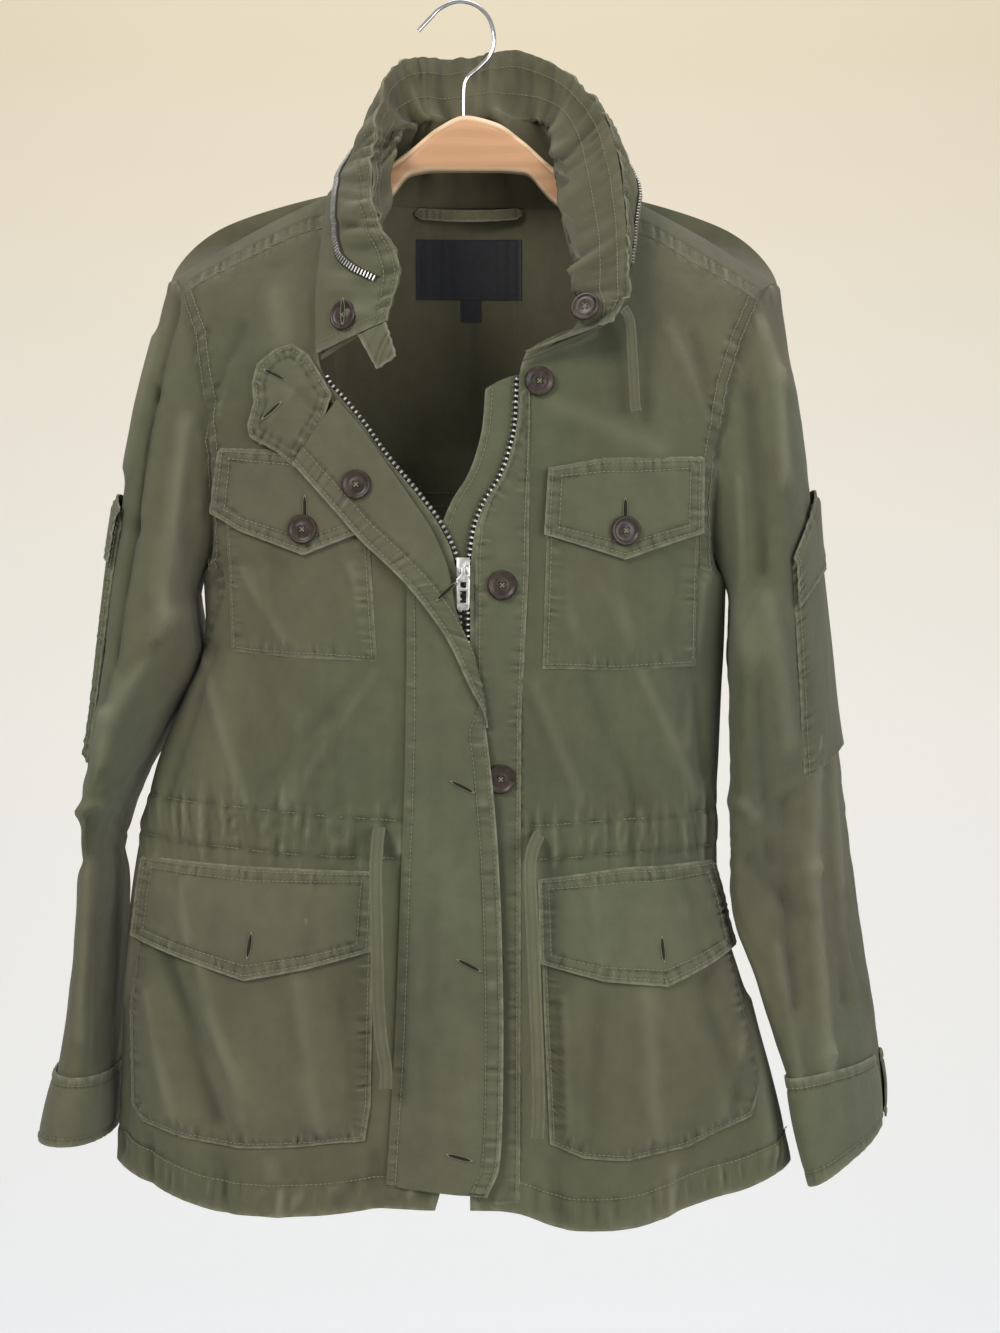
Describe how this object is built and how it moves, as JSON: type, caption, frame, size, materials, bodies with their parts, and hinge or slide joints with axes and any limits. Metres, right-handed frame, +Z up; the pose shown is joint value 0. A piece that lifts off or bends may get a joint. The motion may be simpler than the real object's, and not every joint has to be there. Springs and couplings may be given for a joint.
{
  "type": "field jacket on hanger",
  "caption": "Canvas field jacket with stand collar, open zip, storm flap and patch pockets, hung on a wooden hanger with a wire hook.",
  "frame": {"origin": "under the crown of the hanger's hook, where the rail carries it", "axes": "+Z up, the front of the jacket toward -Y, +X to the viewer's right"},
  "size_m": [0.5995, 0.1778, 0.8468],
  "materials": {
    "canvas": "washed cotton canvas",
    "canvas_inner": "inner face of washed cotton canvas",
    "tie": "narrow tie of the same canvas",
    "label": "woven satin label, bare",
    "tape": "woven zip tape",
    "button": "polished brown resin",
    "zip_metal": "nickel",
    "wood": "satin lacquer",
    "hook_metal": "polished chrome wire"
  },
  "bodies": {
    "jacket": {"front_left": "canvas", "front_right": "canvas", "back": "canvas", "yoke": "canvas", "sleeve_left": "canvas", "sleeve_right": "canvas", "cuff_left": "canvas", "cuff_right": "canvas", "sleeve_pocket_left": "canvas", "sleeve_flap_left": "canvas", "sleeve_pocket_right": "canvas", "sleeve_flap_right": "canvas", "collar": "canvas", "collar_lining": "canvas_inner", "storm_flap": "canvas", "storm_flap_tab": "canvas_inner", "chest_pocket_left": "canvas", "chest_flap_left": "canvas", "chest_pocket_right": "canvas", "chest_flap_right": "canvas", "hip_pocket_left": "canvas", "hip_flap_left": "canvas", "hip_pocket_right": "canvas", "hip_flap_right": "canvas", "button_strip": "canvas", "zip_tape_left": "tape", "zip_tape_right": "tape", "wind_flap": "canvas_inner", "zip_slider": "zip_metal", "collar_zip": "tape", "collar_tab": "tie", "label": "label", "size_tab": "label", "hanging_loop": "tie", "button_chest_left": "button", "button_chest_right": "button", "button_neck": "button", "button_front_upper": "button", "button_front_middle": "button", "button_front_lower": "button", "button_front_hem": "button", "button_storm": "button", "button_collar_left": "button", "button_collar_right": "button", "waist_tie_left": "tie", "waist_tie_right": "tie", "hood_cord": "tie", "hanger": "wood", "hanger_hook": "hook_metal"},
    "zip_pull_tab": {"zip_pull": "zip_metal"}
  },
  "joints": [
    {"name": "zip_pull_swing", "type": "hinge", "parent": "jacket", "child": "zip_pull_tab", "pos_m": [0, -0.0776, -0.402], "axis": [1, 0, 0], "range_deg": [-150, 0]}
  ]
}
